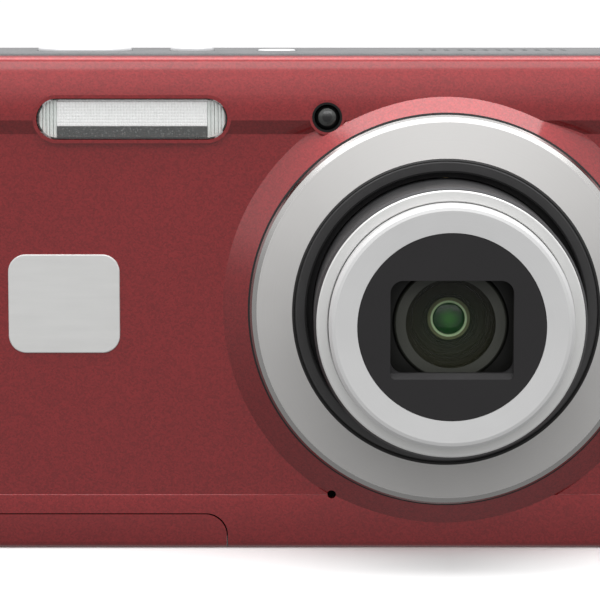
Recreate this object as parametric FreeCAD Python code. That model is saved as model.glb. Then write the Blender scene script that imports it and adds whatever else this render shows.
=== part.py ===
import FreeCAD, Part
import math
import os

# Compact digital camera with a telescoping zoom lens. Millimetres, +Z up.
# The origin is the mouth of the tripod socket, in the middle of the base.
# The lens looks along -Y, and +X is to the right of someone facing the lens.

V = FreeCAD.Vector
OUT_DIR = "parts"
FAR = 200.0

# Body
half_width = 45.75
front_y = -9.75
panel_y = -8.75
rear_y = 9.45
button_rear_y = 9.75
rim_z = 56.5
top_z = 56.8
corner_r = 6.0
wall = 1.0
rear_wall = 1.2
split_y = 5.0
edge_r = 1.0
ledge_z = 6.15
step_low_z = 47.65
step_high_z = 49.25
ledge_round_r = 0.05
step_round_r = 0.15
chin_y = -9.1
chin_z = 3.4
chin_r = 22.0
sole_r = 0.8
crown_start_z = 49.7
crown_r = 24.0
brow_z = 55.6
brow_y = -8.2
brow_bulge = 0.18
top_plate_t = 1.4
top_front_y = -8.0
top_rear_y = 8.3
top_half_width = 44.5
top_corner_r = 4.6
top_rim_r = 0.3
key_z = top_z - 2.2
gap = 0.1
seam = 0.12

# Lens: local z is the distance in front of the plane Y = 0
lens_x = 16.5
lens_z = 27.8
collar_foot_r = 25.3
collar_top_r = 22.35
collar_top = 11.0
collar_back = 7.0
collar_room_r = 23.9
collar_bore_r = 17.95
ring_r = 22.2
ring_bore_r = 17.15
trim_bore_r = 15.8
fixed_r = 17.8
fixed_bore_r = 16.36
fixed_front = 10.55
fixed_back = -1.95
cam_r = 16.28
cam_bore_r = 15.08
cam_front = 10.55
cam_travel = 10.6
cam_turn = 90.0
pin_count = 3
pin_r = 0.5
pin_z = 9.5
slot_half = 0.65
slot_over = 0.25
barrel_1_r = 15.0
barrel_1_bore_r = 13.48
barrel_1_front = 23.3
barrel_1_back = 8.4
barrel_2_r = 13.4
barrel_2_bore_r = 12.3
barrel_2_front = 26.1
barrel_2_back = 15.1
disc_r = 10.25
window_w = 13.4
window_h = 10.2
unit_x0 = -1.5
unit_x1 = 36.0
unit_z0 = 9.2
unit_z1 = 46.6
unit_front = 7.5
unit_back = -4.45
post_offset = 16.8
post_r = 1.6
guide_x = 8.4

# Gear on the cam ring and the motor's pinion
module = 0.5
ring_teeth = 72
pinion_teeth = 12
mesh_angle = 135.0
centre_distance = module * (ring_teeth + pinion_teeth) / 2 + 0.1
root_half = 0.42
tip_half = 0.17
gear_z0 = -3.15
gear_z1 = -2.05

# Battery bay and door
door_x0 = -43.3
door_x1 = -8.42
door_lip_z = 3.92
door_corner_r = 2.5
hinge_y = 6.2
hinge_z = 1.3
knuckle_r = 1.2
hinge_pin_r = 0.4
lug_x = (-34.5, -17.1)
lug_w = 2.8
bay_x0 = -42.6
bay_x1 = -8.0
battery_y = (-6.1, -0.9)
battery_z = (1.6, 41.8)
card_size = (24.0, 2.1, 32.0)
card_corner = (-34.0, 0.2, 1.6)

# Front details
flash_x = -19.0
flash_z = 49.4
flash_w = 21.5
flash_h = 4.55
lamp_x = 3.07
lamp_z = 49.6
lamp_r = 1.7
mic_x = 3.64
mic_z = 6.25
mic_hole_r = 0.5
badge_x = -26.9
badge_z = 28.3
badge_w = 12.7
badge_h = 11.3

# Rear details
display_x0 = -18.6
display_x1 = 39.4
display_z0 = 5.5
display_z1 = 50.5
nav_x = -30.6
nav_z = 26.0
nav_r = 8.6
nav_bore_r = 4.4
ok_r = 4.1
rocker_x = -31.5
rocker_z = 46.0
rocker_w = 13.0
rocker_h = 4.6
rear_buttons = {
    "playback_button": (-38.0, 38.6, 2.3),
    "video_button": (-24.0, 38.6, 2.3),
    "menu_button": (-37.4, 11.0, 2.6),
    "display_button": (-24.4, 11.0, 2.6),
}
flange_lip = 0.5

# Top buttons: centre x, width, depth, height of the crown above the top plate
top_buttons = {
    "shutter_button": (-24.9, 10.8, 6.4, 0.45),
    "power_button": (-12.5, 5.0, 3.6, 0.5),
    "mode_button": (-2.7, 4.5, 3.2, 0.1),
}

# Speaker holes in the top plate
speaker_x0 = 14.0
speaker_pitch = 1.5
speaker_rows = 3
speaker_columns = 12
speaker_hole_r = 0.35

# Side and base details
socket_r = 3.175
socket_depth = 5.5
insert_r = 4.0
flap_y0 = -2.0
flap_y1 = 4.1
flap_z0 = 17.0
flap_z1 = 31.0
flap_x = 45.25
eyelet_z = 48.0
eyelet_h = 6.4
eyelet_w = 5.0
eyelet_depth = 2.9
screw_head_r = 1.0
screw_head_h = 0.6
screw_r = 0.5
screw_len = 4.0
screw_sink = 0.1
base_screw_x = (24.0, 38.0)
cross_length = 1.3
cross_width = 0.25


def box(x0, x1, y0, y1, z0, z1):
    return Part.makeBox(x1 - x0, y1 - y0, z1 - z0, V(x0, y0, z0))


def rounded_box(x0, x1, y0, y1, z0, z1, radius, axis):
    """Box whose four edges along one axis are rounded."""
    solid = box(x0, x1, y0, y1, z0, z1)
    along = {"x": V(1, 0, 0), "y": V(0, 1, 0), "z": V(0, 0, 1)}[axis]
    edges = [e for e in solid.Edges if abs(e.tangentAt(e.FirstParameter).dot(along)) > 0.99]
    return solid.makeFillet(radius, edges)


def rod_x(y, z, radius, x0, x1):
    return Part.makeCylinder(radius, x1 - x0, V(x0, y, z), V(1, 0, 0))


def rod_y(x, z, radius, y0, y1):
    return Part.makeCylinder(radius, y1 - y0, V(x, y0, z), V(0, 1, 0))


def rod_z(x, y, radius, z0, z1):
    return Part.makeCylinder(radius, z1 - z0, V(x, y, z0), V(0, 0, 1))


def pill(width, height, thickness):
    """Prism with round ends, centred on the local origin, standing on z = 0."""
    r = height / 2
    c = width / 2 - r
    edges = [
        Part.LineSegment(V(-c, -r, 0), V(c, -r, 0)).toShape(),
        Part.Arc(V(c, -r, 0), V(c + r, 0, 0), V(c, r, 0)).toShape(),
        Part.LineSegment(V(c, r, 0), V(-c, r, 0)).toShape(),
        Part.Arc(V(-c, r, 0), V(-c - r, 0, 0), V(-c, -r, 0)).toShape(),
    ]
    return Part.Face(Part.Wire(edges)).extrude(V(0, 0, thickness))


def pill_top(x, y, width, height, z0, z1):
    solid = pill(width, height, z1 - z0)
    solid.translate(V(x, y, z0))
    return solid


def pill_front(x, z, width, height, y0, y1):
    """Round-ended prism along Y, between y0 and y1."""
    solid = pill(width, height, y1 - y0)
    solid.rotate(V(0, 0, 0), V(1, 0, 0), 90)
    solid.translate(V(x, y1, z))
    return solid


def to_lens(solid):
    """Moves a solid from the lens's local axes, z forwards, into place."""
    solid.rotate(V(0, 0, 0), V(1, 0, 0), 90)
    solid.translate(V(lens_x, 0, lens_z))
    return solid


def turned(points):
    """Ring turned about the lens axis from (radius, distance forwards) points."""
    profile = [V(r, 0, z) for r, z in points]
    face = Part.Face(Part.makePolygon(profile + [profile[0]]))
    return face.revolve(V(0, 0, 0), V(0, 0, 1), 360)


def lens_ring_part(points):
    return to_lens(turned(points))


def tube(r_out, r_in, z0, z1):
    return turned([(r_in, z0), (r_out, z0), (r_out, z1), (r_in, z1)])


def save(shape, name):
    if len(shape.Solids) == 1:
        shape = shape.Solids[0]
    shape.exportStep(OUT_DIR + "/" + name + ".step")


def arc_edge(centre, radius, a0, a1):
    """Arc in the YZ plane through angles in degrees, from +Y towards +Z."""
    points = []
    for a in (a0, (a0 + a1) / 2, a1):
        t = math.radians(a)
        points.append(V(0, centre[0] + radius * math.cos(t), centre[1] + radius * math.sin(t)))
    return Part.Arc(points[0], points[1], points[2]).toShape(), points[0], points[2]


def blunted(path, radii):
    """Straight edges along a path, joined by an arc of its own radius at each inner corner."""
    edges = []
    start = path[0]
    for before, corner, after, radius in zip(path, path[1:], path[2:], radii):
        back = (before - corner).normalize()
        onward = (after - corner).normalize()
        half = back.getAngle(onward) / 2
        centre = corner + (back + onward).normalize() * (radius / math.sin(half))
        middle = centre + (corner - centre).normalize() * radius
        entry = corner + back * (radius / math.tan(half))
        leave = corner + onward * (radius / math.tan(half))
        edges.append(Part.LineSegment(start, entry).toShape())
        edges.append(Part.Arc(entry, middle, leave).toShape())
        start = leave
    edges.append(Part.LineSegment(start, path[-1]).toShape())
    return edges


def straight(path):
    return [Part.LineSegment(a, b).toShape() for a, b in zip(path, path[1:])]


def front_section(inset, ceiling, back):
    """Side profile of the body, moved inwards by the wall thickness inset."""
    lean = (step_high_z - step_low_z) / (panel_y - front_y)
    shift = inset * (math.sqrt(1 + lean * lean) - lean)
    chin = (chin_y + chin_r, chin_z)
    chin_top = 180 - math.degrees(math.asin((ledge_z - inset - chin_z) / (chin_r - inset)))
    if inset:
        chin_foot = 180 + math.degrees(math.asin((chin_z - inset) / (chin_r - inset)))
    else:
        chin_foot = 180 + math.degrees(math.asin((chin_z - sole_r) / (chin_r - sole_r)))
    chin_arc, chin_start, chin_end = arc_edge(chin, chin_r - inset, chin_foot, chin_top)
    crown_angle = 180 - math.degrees(math.asin((brow_z - crown_start_z) / crown_r))
    crown, crown_start, crown_end = arc_edge(
        (front_y + crown_r, crown_start_z), crown_r - inset, 180, crown_angle)
    brow_end = V(0, brow_y + inset, ceiling)
    path = [
        chin_end,
        V(0, panel_y + inset, ledge_z - inset),
        V(0, panel_y + inset, step_low_z + shift),
        V(0, front_y + inset, step_high_z + shift),
        crown_start,
    ]
    if inset:
        base_start = chin_start
        edges = straight(path) + [crown] + straight([crown_end, brow_end])
    else:
        turn = math.radians(chin_foot)
        reach = chin_r - sole_r
        sole = (chin[0] + reach * math.cos(turn), chin[1] + reach * math.sin(turn))
        sole_arc, base_start, _ = arc_edge(sole, sole_r, 270, chin_foot)
        edges = [sole_arc] + blunted(path, (ledge_round_r, step_round_r, step_round_r))
        outwards = V(0, crown_end.z - brow_end.z, brow_end.y - crown_end.y).normalize()
        brow_mid = (crown_end + brow_end) * 0.5 + outwards * brow_bulge
        edges += [crown, Part.Arc(crown_end, brow_mid, brow_end).toShape()]
    edges += [chin_arc] + straight([brow_end, V(0, back, ceiling), V(0, back, inset), base_start])
    edges = Part.__sortEdges__(edges)
    face = Part.Face(Part.Wire(edges))
    face.translate(V(-FAR, 0, 0))
    return face.extrude(V(2 * FAR, 0, 0))


def body_block():
    """Outer form of the whole body, without its recesses for parts."""
    plan = rounded_box(-half_width, half_width, front_y, rear_y, 0, rim_z, corner_r, "z")
    flat = [e for e in plan.Edges if abs(e.BoundBox.ZLength) < 1e-6]
    plan = plan.makeFillet(edge_r, flat)
    return plan.common(front_section(0.0, rim_z, rear_y))


def body_void():
    """Room inside the body, left by the walls."""
    w = half_width - wall
    plan = rounded_box(-w, w, front_y + wall, rear_y - rear_wall, wall, top_z - top_plate_t,
                       corner_r - wall, "z")
    return plan.common(front_section(wall, top_z - top_plate_t, rear_y))


def top_opening(grow):
    return rounded_box(-top_half_width - grow, top_half_width + grow, top_front_y - grow,
                       top_rear_y + grow, top_z - top_plate_t - grow, top_z + 1, top_corner_r, "z")


def door_region(grow):
    """Block that holds the battery door: its base and its lip on the front."""
    region = rounded_box(door_x0 - grow, door_x1 + grow, -20, hinge_y + knuckle_r + gap + grow / 2,
                         -6 - grow, door_lip_z + grow, door_corner_r, "y")
    low = box(-FAR, FAR, -5, FAR, -FAR, wall + gap)
    front = box(-FAR, FAR, -FAR, -5, -FAR, FAR)
    return region.common(low.fuse(front))


def screw_at(base, direction):
    """Screw whose flat head starts at base and whose shank runs along direction."""
    head = Part.makeCylinder(screw_head_r, screw_head_h, base, direction)
    shank = Part.makeCylinder(screw_r, screw_len, base, direction)
    half = cross_length / 2
    slot = box(-half, half, -cross_width / 2, cross_width / 2, 0, cross_width)
    cross = slot.fuse(box(-cross_width / 2, cross_width / 2, -half, half, 0, cross_width))
    cross.Placement = FreeCAD.Placement(base, FreeCAD.Rotation(V(0, 0, 1), direction))
    return head.fuse(shank).cut(cross)


def screws():
    """Two case screws in the base and three that hold the lens unit."""
    solids = []
    for x in base_screw_x:
        solids.append(screw_at(V(x, 0, screw_sink), V(0, 0, 1)))
    for x, z in posts():
        solids.append(screw_at(V(x, -unit_back, z), V(0, -1, 0)))
    return Part.makeCompound(solids)


def screw_seats():
    seats = []
    for x in base_screw_x:
        seats.append(rod_z(x, 0, screw_head_r + gap, -1, screw_sink + screw_head_h))
        seats.append(rod_z(x, 0, screw_r, 0, screw_sink + screw_len))
    return Part.makeCompound(seats)


def posts():
    d = post_offset
    return [(lens_x + d, lens_z + d), (lens_x + d, lens_z - d), (lens_x - d, lens_z - d)]


def collar():
    """Straight-sided mound round the lens, from the recessed panel up to the ring."""
    return lens_ring_part([(0, collar_back), (collar_foot_r, collar_back), (collar_foot_r, -panel_y),
                           (collar_top_r, collar_top), (0, collar_top)])


def front_cover():
    cover = body_block()
    cone_in = turned([(0, 0), (collar_room_r, 0), (collar_room_r, -panel_y - 0.3),
                      (collar_top_r - wall, collar_top - wall), (0, collar_top - wall)])
    cover = cover.fuse(collar())
    rim = pill_front(flash_x, flash_z, flash_w + 0.9, flash_h + 0.9, front_y, -8.0)
    cover = cover.fuse(rim)
    cover = cover.fuse(rod_y(lamp_x, lamp_z, lamp_r + 0.3, front_y, -8.0))
    cover = cover.cut(body_void())
    cover = cover.cut(to_lens(cone_in))
    cover = cover.cut(to_lens(tube(collar_bore_r, 0, 0, 20)))
    cover = cover.cut(box(-FAR, FAR, split_y, FAR, -FAR, FAR))
    cover = cover.cut(top_opening(gap / 2))
    cover = cover.cut(door_region(seam))
    cover = cover.cut(pill_front(flash_x, flash_z, flash_w + gap, flash_h + gap, -20, -5))
    cover = cover.cut(rod_y(lamp_x, lamp_z, lamp_r, -20, -5))
    cover = cover.cut(rod_y(mic_x, mic_z, mic_hole_r, -20, -5))
    cover = cover.cut(rod_z(0, 0, insert_r, -1, 5))
    cover = cover.cut(screw_seats())
    cover = cover.cut(flap_opening())
    return cover.cut(eyelet_block(0.02))


def rear_cover():
    cover = body_block().cut(body_void())
    cover = cover.cut(box(-FAR, FAR, -FAR, split_y + gap / 2, -FAR, FAR))
    cover = cover.cut(top_opening(gap / 2))
    cover = cover.cut(door_region(seam))
    cover = cover.cut(rounded_box(display_x0, display_x1, 5, 12, display_z0, display_z1, 1.5, "y"))
    cover = cover.cut(rod_y(nav_x, nav_z, nav_r + 0.3, 5, 12))
    cover = cover.cut(pill_front(rocker_x, rocker_z, rocker_w + 0.5, rocker_h + 0.4, 5, 12))
    for x, z, r in rear_buttons.values():
        cover = cover.cut(rod_y(x, z, r + 0.15, 5, 12))
    return cover


def top_cover():
    plate = top_opening(0).common(box(-FAR, FAR, -FAR, FAR, 0, top_z))
    rim_edges = [e for e in plate.Edges if e.BoundBox.ZMin > top_z - 0.01]
    plate = plate.makeFillet(top_rim_r, rim_edges)
    for x, width, depth, _ in top_buttons.values():
        plate = plate.cut(pill_top(x, 0, width + 0.3, depth + 0.3, 50, 60))
    for row in range(speaker_rows):
        for column in range(speaker_columns):
            x = speaker_x0 + speaker_pitch * column
            y = speaker_pitch * (row - (speaker_rows - 1) / 2)
            plate = plate.cut(rod_z(x, y, speaker_hole_r, 50, 60))
    return plate


def top_button(x, width, depth, crown):
    head = pill_top(x, 0, width, depth, key_z, top_z + crown)
    crown_edges = [e for e in head.Edges if e.BoundBox.ZMin > top_z + crown - 0.01]
    head = head.makeFillet(min(0.35, crown + 0.2), crown_edges)
    flange = pill_top(x, 0, width + 2 * flange_lip, depth + 2 * flange_lip, key_z, key_z + 0.5)
    stem = rod_z(x, 0, 0.9, key_z - 0.65, key_z)
    return head.fuse(flange).fuse(stem)


def top_board():
    """Switch board under the top buttons, with one switch for each."""
    board = box(-31.0, 1.0, -2.0, 4.0, key_z - 2.4, key_z - 1.8)
    for x, _, _, _ in top_buttons.values():
        board = board.fuse(rod_z(x, 0, 1.5, key_z - 1.8, key_z - 1.25))
    return board


def knuckles(radius, clear):
    """Hinge barrels of the door: the stretches of hinge line between the lugs."""
    ends = [door_x0 + 0.8]
    for x in lug_x:
        ends += [x - lug_w / 2 - clear, x + lug_w / 2 + clear]
    ends.append(door_x1 - 0.8)
    rods = [rod_x(hinge_y, hinge_z, radius, ends[i], ends[i + 1]) for i in range(0, len(ends), 2)]
    return rods


def battery_door():
    door = body_block().cut(body_void()).common(door_region(0))
    door = door.cut(box(-FAR, FAR, hinge_y - 0.2, FAR, -FAR, FAR))
    for x in lug_x:
        door = door.cut(box(x - lug_w / 2 - gap, x + lug_w / 2 + gap, 4.8, 8, -1, 3))
    for rod in knuckles(knuckle_r, gap):
        door = door.fuse(rod)
    latch = box(-30, -22, -7.6, -7.0, wall, 2.4)
    pad = rounded_box(-38, -13, -5.6, 2.3, wall, 1.35, 1.5, "z")
    door = door.fuse(latch.fuse(box(-30, -22, -7.6, -6.0, wall, 1.4))).fuse(pad)
    return door.cut(rod_x(hinge_y, hinge_z, hinge_pin_r + 0.05, -FAR, FAR))


def door_hinge_pin():
    return rod_x(hinge_y, hinge_z, hinge_pin_r, door_x0 + 0.4, door_x1 - 0.4)


def battery_holder():
    """Moulded box with a bay for the battery, a slot for the card and two hinge lugs."""
    x0 = bay_x0 - 0.6
    x1 = bay_x1 + 0.6
    bay_y = (battery_y[0] - 0.15, battery_y[1] + 0.15)
    holder = box(x0, x1, bay_y[0] - 0.45, 3.0, 1.7, 43.0)
    holder = holder.cut(box(bay_x0 - 0.15, bay_x1 + 0.15, bay_y[0], bay_y[1], 0, 42.0))
    cx, cy, _ = card_corner
    holder = holder.cut(box(cx - 0.15, cx + card_size[0] + 0.15, cy - 0.15, cy + card_size[1] + 0.15,
                            0, 34.0))
    holder = holder.cut(box(-39.0, -12.0, battery_y[0] - 2, battery_y[0], 9.0, 36.0))
    for x in lug_x:
        arm = box(x - lug_w / 2, x + lug_w / 2, 2.9, hinge_y, hinge_z - 0.1, 3.2)
        eye = rod_x(hinge_y, hinge_z, 1.05, x - lug_w / 2, x + lug_w / 2)
        holder = holder.fuse(arm.fuse(eye))
        holder = holder.fuse(box(x - lug_w / 2, x + lug_w / 2, 2.5, 3.0, 1.2, 4.0))
    return holder.cut(rod_x(hinge_y, hinge_z, hinge_pin_r, -FAR, FAR))


def battery():
    pack = rounded_box(bay_x0, bay_x1, battery_y[0], battery_y[1], battery_z[0], battery_z[1], 0.8, "z")
    for i in range(3):
        x = -36.0 + 3.2 * i
        pack = pack.cut(box(x, x + 1.8, battery_y[0] + 1.4, battery_y[1] - 1.4, 41.4, 42.5))
    return pack


def memory_card():
    cx, cy, cz = card_corner
    card = box(cx, cx + card_size[0], cy, cy + card_size[1], cz, cz + card_size[2])
    corner = box(-2.8, 2.8, -5, 5, -2.8, 2.8)
    corner.rotate(V(0, 0, 0), V(0, 1, 0), 45)
    corner.translate(V(cx, cy, cz + card_size[2]))
    card = card.cut(corner)
    return card.cut(box(cx + 6, cx + 18, cy + card_size[1] - 0.4, 9, cz + 0.8, cz + 1.8))


def chassis():
    """Sheet-metal frame behind the lens, with a shelf that holds the tripod socket."""
    plate = box(-18.0, 43.0, 5.7, 6.2, 4.0, 53.0)
    for x in (-8.0, 12.0, 32.0):
        for z in (14.0, 34.0):
            plate = plate.cut(rounded_box(x - 6, x + 6, 5, 7, z, z + 12, 2, "y"))
    shelf = box(-7.0, 42.0, -5.0, 6.2, 1.05, 1.65)
    frame = plate.fuse(shelf).fuse(box(-7.0, 42.0, 5.7, 6.2, 1.05, 4.2))
    for x in base_screw_x:
        frame = frame.fuse(box(x - 1.6, x + 1.6, -1.6, 1.6, 1.05, 4.3))
    frame = frame.cut(rod_z(0, 0, insert_r, 0, 5))
    return frame.cut(screw_seats())


def tripod_insert():
    insert = rod_z(0, 0, insert_r, 0, 6.6)
    insert = insert.fuse(rod_z(0, 0, 5.2, 1.65, 2.6))
    return insert.cut(rod_z(0, 0, socket_r, -1, socket_depth))


def lens_ring():
    """Bright ring on the collar; its face rises towards the bore."""
    return lens_ring_part([(ring_bore_r, 10.6), (collar_bore_r - 0.05, 10.6),
                           (collar_bore_r - 0.05, collar_top), (ring_r, collar_top), (ring_r, 11.6),
                           (ring_r - 0.25, 11.95), (ring_r - 0.8, 12.12), (ring_bore_r + 0.25, 13.1),
                           (ring_bore_r, 12.95)])


def lens_trim():
    """Dark ring inside the bright one, with a lip that hides the running gap."""
    return lens_ring_part([(trim_bore_r, 10.6), (17.1, 10.6), (17.1, 12.75), (16.9, 12.85),
                           (16.0, 12.7), (trim_bore_r, 12.5)])


def fixed_tube():
    """Guide tube of the lens unit, with straight grooves for the barrel's pins."""
    body = tube(fixed_r, fixed_bore_r, fixed_back, fixed_front)
    for i in range(pin_count):
        groove = box(fixed_bore_r - 1, fixed_bore_r + 0.85, -0.6, 0.6, fixed_back - 1, pin_z + 0.6)
        groove.rotate(V(0, 0, 0), V(0, 0, 1), 360.0 * i / pin_count + 90)
        body = body.cut(groove)
    body = to_lens(body)
    plate = rounded_box(unit_x0, unit_x1, -unit_front, -unit_front + 1, unit_z0, unit_z1, 2, "y")
    return body.fuse(plate.cut(to_lens(tube(fixed_r - 0.5, 0, -20, 20))))


def gear_outline(teeth, phase):
    """Outline of a spur gear with straight flanks, tooth centres at phase plus whole pitches."""
    pitch_r = module * teeth / 2
    root = (pitch_r - 1.2 * module, -root_half)
    tip = (pitch_r + 0.9 * module, -tip_half)
    flanks = [root, tip, (tip[0], tip_half), (root[0], root_half)]
    points = []
    for k in range(teeth):
        centre = math.radians(phase + 360.0 * k / teeth)
        for r, offset in flanks:
            a = centre + offset / r
            points.append(V(r * math.cos(a), r * math.sin(a), 0))
    return Part.Face(Part.makePolygon(points + [points[0]]))


def cam_slot():
    """Curved slot that rises by the barrel's travel over its turn, up to the first pin."""
    pitch = cam_travel * 360.0 / cam_turn
    middle_r = (cam_r + cam_bore_r) / 2
    over_turn = cam_turn * slot_over / cam_travel
    helix = Part.makeHelix(pitch, cam_travel + 2 * slot_over, middle_r)
    tangent = V(0, 2 * math.pi * middle_r, pitch).normalize()
    across = tangent.cross(V(1, 0, 0))
    corners = []
    for i, j in ((-1, -1), (1, -1), (1, 1), (-1, 1)):
        corners.append(V(middle_r + i, 0, 0) + across * (j * slot_half))
    profile = Part.makePolygon(corners + [corners[0]])
    slot = Part.Wire(helix.Edges).makePipeShell([profile], True, True)
    slot.rotate(V(0, 0, 0), V(0, 0, 1), 90 - cam_turn - over_turn)
    slot.translate(V(0, 0, pin_z - cam_travel - slot_over))
    return slot


def cam_ring():
    ring = tube(cam_r, cam_bore_r, gear_z1, cam_front)
    for i in range(pin_count):
        slot = cam_slot()
        slot.rotate(V(0, 0, 0), V(0, 0, 1), 360.0 * i / pin_count)
        ring = ring.cut(slot)
    gear = gear_outline(ring_teeth, mesh_angle).extrude(V(0, 0, gear_z1 - gear_z0))
    gear.translate(V(0, 0, gear_z0))
    gear = gear.cut(Part.makeCylinder(cam_bore_r, 10, V(0, 0, -5)))
    return to_lens(ring.fuse(gear))


def guide_pins():
    """Pins of the outer barrel: they run in the cam slots and the straight grooves."""
    pins = []
    for i in range(pin_count):
        pin = Part.makeCylinder(pin_r, 2.9, V(14.1, 0, pin_z), V(1, 0, 0))
        pin.rotate(V(0, 0, 0), V(0, 0, 1), 360.0 * i / pin_count + 90)
        pins.append(to_lens(pin))
    return Part.makeCompound(pins)


def outer_barrel():
    b = barrel_1_bore_r
    barrel = lens_ring_part([(b, barrel_1_back), (barrel_1_r, barrel_1_back), (barrel_1_r, 23.0),
                             (14.8, barrel_1_front), (b, barrel_1_front)])
    return barrel.cut(guide_pins())


def barrel_cap():
    b = barrel_1_bore_r
    f = barrel_1_front
    return lens_ring_part([(b, f), (14.72, f), (14.72, f + 0.2), (14.58, f + 0.34),
                           (b + 0.12, f + 0.34), (b, f + 0.22)])


def inner_barrel():
    b = barrel_2_bore_r
    r = barrel_2_r
    f = barrel_2_front
    lip = disc_r + 0.05
    return lens_ring_part([(b, barrel_2_back), (r, barrel_2_back), (r, f - 0.45), (r - 0.35, f - 0.08),
                           (r - 0.7, f), (lip, f - 0.1), (lip, f - 0.7), (b, f - 0.7)])


def front_disc():
    f = barrel_2_front
    disc = lens_ring_part([(0, f - 1.5), (12.2, f - 1.5), (12.2, f - 0.75), (disc_r, f - 0.75),
                           (disc_r, f - 0.12), (0, f - 0.12)])
    w = window_w / 2
    h = window_h / 2
    disc = disc.cut(rounded_box(lens_x - w, lens_x + w, -30, -20, lens_z - h, lens_z + h, 1.4, "y"))
    bevel = rounded_box(lens_x - w, lens_x + w, -f + 0.12, -f + 0.72, lens_z - h - 0.6, lens_z, 0.5, "y")
    slope = box(-30, 30, 0, 2, -1.2, 0)
    slope.rotate(V(0, 0, 0), V(1, 0, 0), 45)
    slope.translate(V(lens_x, -f + 0.12, lens_z - h - 0.6))
    return disc.cut(bevel.cut(slope))


def cover_blade(side):
    """Half of the lens cover: a thin plate with one straight edge, shown open."""
    blade = Part.makeCylinder(12.0, 0.3, V(0, 0, 24.1))
    keep = box(-7.4, 7.4, 5.25, 12.5, 20, 30)
    if side < 0:
        keep = keep.mirror(V(0, 0, 0), V(0, 1, 0))
    return to_lens(blade.common(keep))


def lens_holder():
    """Carrier of the front element, with a raised bezel round its bore."""
    return lens_ring_part([(7.05, 20.4), (12.25, 20.4), (12.25, 22.0), (6.4, 22.4), (6.0, 22.75),
                           (4.93, 22.75), (5.05, 22.0), (7.05, 22.0)])


def dome_arc(radius, level, rise):
    """Arc from the lens axis out to radius, rising by rise above level at the axis."""
    sphere_r = (radius * radius + rise * rise) / (2 * abs(rise))
    sink = sphere_r - abs(rise)
    half = math.sqrt(sphere_r * sphere_r - radius * radius / 4) - sink
    sign = 1 if rise > 0 else -1
    return Part.Arc(V(0, 0, level + rise), V(radius / 2, 0, level + sign * half), V(radius, 0, level))


def glass(radius, front, back, front_rise, back_rise, land):
    """Lens element: two spherical faces inside a flat land."""
    r = radius - land
    edges = [
        dome_arc(r, front, front_rise).toShape(),
        Part.LineSegment(V(r, 0, front), V(radius, 0, front)).toShape(),
        Part.LineSegment(V(radius, 0, front), V(radius, 0, back)).toShape(),
        Part.LineSegment(V(radius, 0, back), V(r, 0, back)).toShape(),
        dome_arc(r, back, -back_rise).toShape(),
        Part.LineSegment(V(0, 0, back - back_rise), V(0, 0, front + front_rise)).toShape(),
    ]
    outline = Part.Wire(Part.__sortEdges__(edges))
    return to_lens(Part.Face(outline).revolve(V(0, 0, 0), V(0, 0, 1), 360))


def iris_plate():
    """Plate with the aperture, a raised rim round it and a seat for the rear element."""
    return lens_ring_part([(1.8, 17.6), (4.05, 17.6), (4.05, 15.6), (5.0, 15.6), (5.0, 17.6),
                           (12.25, 17.6), (12.25, 18.1), (2.35, 18.1), (2.35, 18.35), (1.8, 18.35)])


def focus_holder():
    holder = tube(10.6, 5.0, -0.7, 0.9)
    for x in (-guide_x, guide_x):
        holder = holder.cut(Part.makeCylinder(0.46, 9, V(x, 0, -4)))
    return to_lens(holder)


def lens_base():
    """Back plate of the lens unit, with posts to the front and two rods for the focus lens."""
    base = rounded_box(unit_x0, unit_x1, 3.25, -unit_back, unit_z0, unit_z1, 2, "y")
    for x, z in posts():
        base = base.fuse(rod_y(x, z, post_r, -unit_front + 1, 3.3))
    base = base.cut(box(lens_x - 5.6, lens_x + 5.6, 3, 6, lens_z - 4.9, lens_z + 4.9))
    for x in (-guide_x, guide_x):
        base = base.fuse(rod_y(lens_x + x, lens_z, 0.4, -1.75, 3.3))
    for x, z in posts():
        base = base.cut(rod_y(x, z, screw_head_r, -unit_back - screw_head_h, 6))
        base = base.cut(rod_y(x, z, screw_r, -unit_back - screw_len, 6))
    return base


def image_sensor():
    body = box(lens_x - 5.5, lens_x + 5.5, 2.9, 4.4, lens_z - 4.8, lens_z + 4.8)
    return body.cut(box(lens_x - 3.6, lens_x + 3.6, 2.8, 3.1, lens_z - 2.9, lens_z + 2.9))


def pinion_centre():
    a = math.radians(mesh_angle)
    return lens_x + centre_distance * math.cos(a), lens_z + centre_distance * math.sin(a)


def zoom_pinion():
    phase = mesh_angle + 180.0 + 180.0 / pinion_teeth
    gear = gear_outline(pinion_teeth, phase).extrude(V(0, 0, gear_z1 - gear_z0))
    gear = gear.cut(Part.makeCylinder(0.45, 5, V(0, 0, -1)))
    gear.rotate(V(0, 0, 0), V(1, 0, 0), 90)
    x, z = pinion_centre()
    gear.translate(V(x, -gear_z0, z))
    return gear


def zoom_motor():
    x, z = pinion_centre()
    can = rod_y(x, z, 3.1, -6.4, 1.4)
    return can.fuse(rod_y(x, z, 0.4, 1.4, -gear_z0))


def main_board():
    board = box(-42.0, 42.0, 4.8, 5.5, 3.4, 52.0)
    board = board.cut(box(-43.0, -8.0, 4, 6, 3.0, 9.0))
    for x, z, w, h in ((-34.0, 30.0, 12.0, 12.0), (-18.0, 30.0, 8.0, 10.0), (-30.0, 16.0, 9.0, 6.0)):
        board = board.fuse(box(x - w / 2, x + w / 2, 3.5, 4.8, z - h / 2, z + h / 2))
    return board


def flash_window():
    return pill_front(flash_x, flash_z, flash_w, flash_h, front_y + 0.02, -8.15)


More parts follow.
